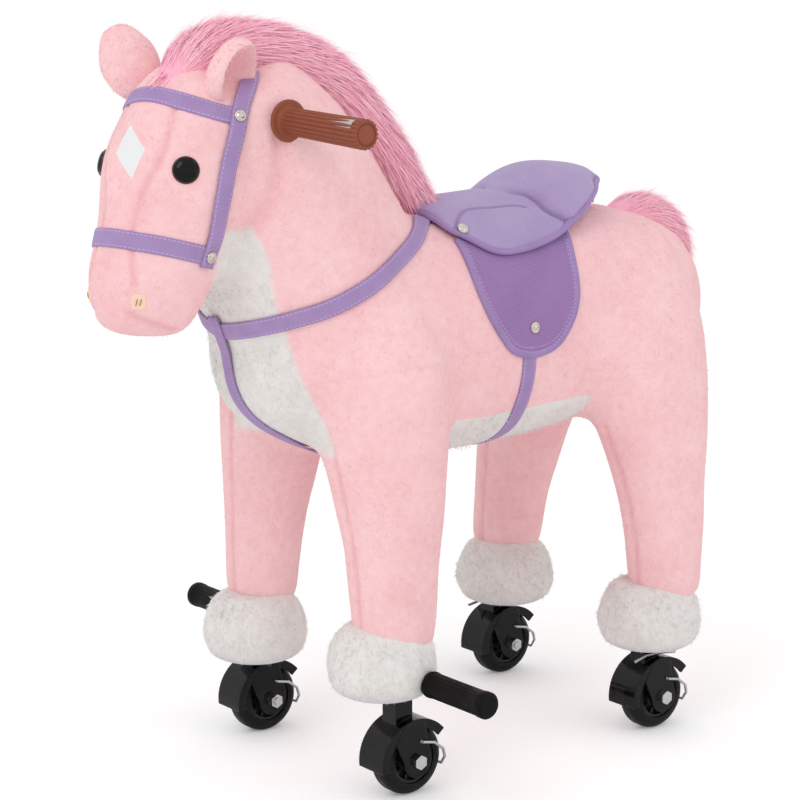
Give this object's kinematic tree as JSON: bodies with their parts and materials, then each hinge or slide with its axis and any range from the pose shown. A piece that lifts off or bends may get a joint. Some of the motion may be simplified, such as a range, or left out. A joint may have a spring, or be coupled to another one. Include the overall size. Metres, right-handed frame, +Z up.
{
  "type": "plush ride-on horse",
  "caption": "Plush ride-on horse on wheels with padded saddle, bridle, hand grips and foot pegs; the front legs swing as the rider bounces and the wheels roll it along.",
  "frame": {"origin": "on the floor, midway along the length and the width", "axes": "+Z up, the horse looks along -Y, its left side is +X"},
  "size_m": [0.488, 0.7469, 0.7461],
  "materials": {
    "plush_pink": "short-pile pink plush",
    "plush_long_pile": "long-pile deeper pink plush",
    "plush_white": "short-pile white plush",
    "felt_white": "white felt",
    "felt_peach": "sewn peach patch",
    "eye_plastic": "glossy black dome",
    "saddle_cloth": "purple twill with bound edge",
    "strap_webbing": "purple webbing",
    "nickel": "polished nickel",
    "grip_plastic": "moulded brown, fluted",
    "peg_plastic": "moulded black",
    "frame_steel": "dark paint",
    "bright_steel": "plain",
    "zinc_steel": "zinc plated",
    "fork_plastic": "moulded gloss black",
    "hub_plastic": "moulded black",
    "tyre_rubber": "matt black"
  },
  "bodies": {
    "body": {"torso": "plush_pink", "neck": "plush_pink", "head": "plush_pink", "left_ear": "plush_pink", "right_ear": "plush_pink", "mane": "plush_long_pile", "tail": "plush_long_pile", "chest_panel": "plush_white", "belly_panel": "plush_white", "blaze": "felt_white", "eyes": "eye_plastic", "nostrils": "felt_peach", "saddle_seat": "saddle_cloth", "left_saddle_flap": "saddle_cloth", "right_saddle_flap": "saddle_cloth", "girth_strap": "strap_webbing", "breast_strap": "strap_webbing", "martingale_strap": "strap_webbing", "browband": "strap_webbing", "headstall_strap": "strap_webbing", "noseband": "strap_webbing", "strap_rivets": "nickel", "handlebar_tube": "bright_steel", "hand_grips": "grip_plastic", "main_frame": "frame_steel", "return_springs": "bright_steel", "rear_left_leg": "plush_pink", "rear_right_leg": "plush_pink", "rear_left_hoof": "plush_white", "rear_right_hoof": "plush_white", "rear_left_fork": "fork_plastic", "rear_right_fork": "fork_plastic", "rear_axle_bolts": "zinc_steel", "rear_axle_nuts": "zinc_steel", "rear_stem_clips": "zinc_steel"},
    "front_legs": {"shoulder_axle": "bright_steel", "front_leg_tubes": "frame_steel", "front_left_leg": "plush_pink", "front_right_leg": "plush_pink", "front_left_hoof": "plush_white", "front_right_hoof": "plush_white", "foot_pegs": "peg_plastic", "front_left_fork": "fork_plastic", "front_right_fork": "fork_plastic", "front_axle_bolts": "zinc_steel", "front_axle_nuts": "zinc_steel"},
    "front_left_wheel": {"front_left_tyre": "tyre_rubber", "front_left_hub": "hub_plastic"},
    "front_left_bail": {"front_left_bail": "zinc_steel"},
    "front_right_wheel": {"front_right_tyre": "tyre_rubber", "front_right_hub": "hub_plastic"},
    "front_right_bail": {"front_right_bail": "zinc_steel"},
    "rear_left_wheel": {"rear_left_tyre": "tyre_rubber", "rear_left_hub": "hub_plastic"},
    "rear_left_bail": {"rear_left_bail": "zinc_steel"},
    "rear_right_wheel": {"rear_right_tyre": "tyre_rubber", "rear_right_hub": "hub_plastic"},
    "rear_right_bail": {"rear_right_bail": "zinc_steel"}
  },
  "joints": [
    {"name": "front_leg_swing", "type": "hinge", "parent": "body", "child": "front_legs", "pos_m": [0, -0.1145, 0.4012], "axis": [-1, 0, 0], "range_deg": [0, 14], "stiffness_Nm_per_rad": 40, "springref_deg": -14.32},
    {"name": "front_left_wheel_spin", "type": "hinge", "parent": "front_legs", "child": "front_left_wheel", "pos_m": [0.121, -0.1045, 0.036], "axis": [1, 0, 0], "continuous": true},
    {"name": "front_left_bail_swing", "type": "hinge", "parent": "front_legs", "child": "front_left_bail", "pos_m": [0.121, -0.1009, 0.05544], "axis": [1, 0, 0], "range_deg": [0, 36]},
    {"name": "front_right_wheel_spin", "type": "hinge", "parent": "front_legs", "child": "front_right_wheel", "pos_m": [-0.121, -0.1045, 0.036], "axis": [1, 0, 0], "continuous": true},
    {"name": "front_right_bail_swing", "type": "hinge", "parent": "front_legs", "child": "front_right_bail", "pos_m": [-0.121, -0.1009, 0.05544], "axis": [1, 0, 0], "range_deg": [0, 36]},
    {"name": "rear_left_wheel_spin", "type": "hinge", "parent": "body", "child": "rear_left_wheel", "pos_m": [0.121, 0.2205, 0.036], "axis": [1, 0, 0], "continuous": true},
    {"name": "rear_left_bail_swing", "type": "hinge", "parent": "body", "child": "rear_left_bail", "pos_m": [0.121, 0.2241, 0.05544], "axis": [1, 0, 0], "range_deg": [0, 36]},
    {"name": "rear_right_wheel_spin", "type": "hinge", "parent": "body", "child": "rear_right_wheel", "pos_m": [-0.121, 0.2205, 0.036], "axis": [1, 0, 0], "continuous": true},
    {"name": "rear_right_bail_swing", "type": "hinge", "parent": "body", "child": "rear_right_bail", "pos_m": [-0.121, 0.2241, 0.05544], "axis": [1, 0, 0], "range_deg": [0, 36]}
  ]
}
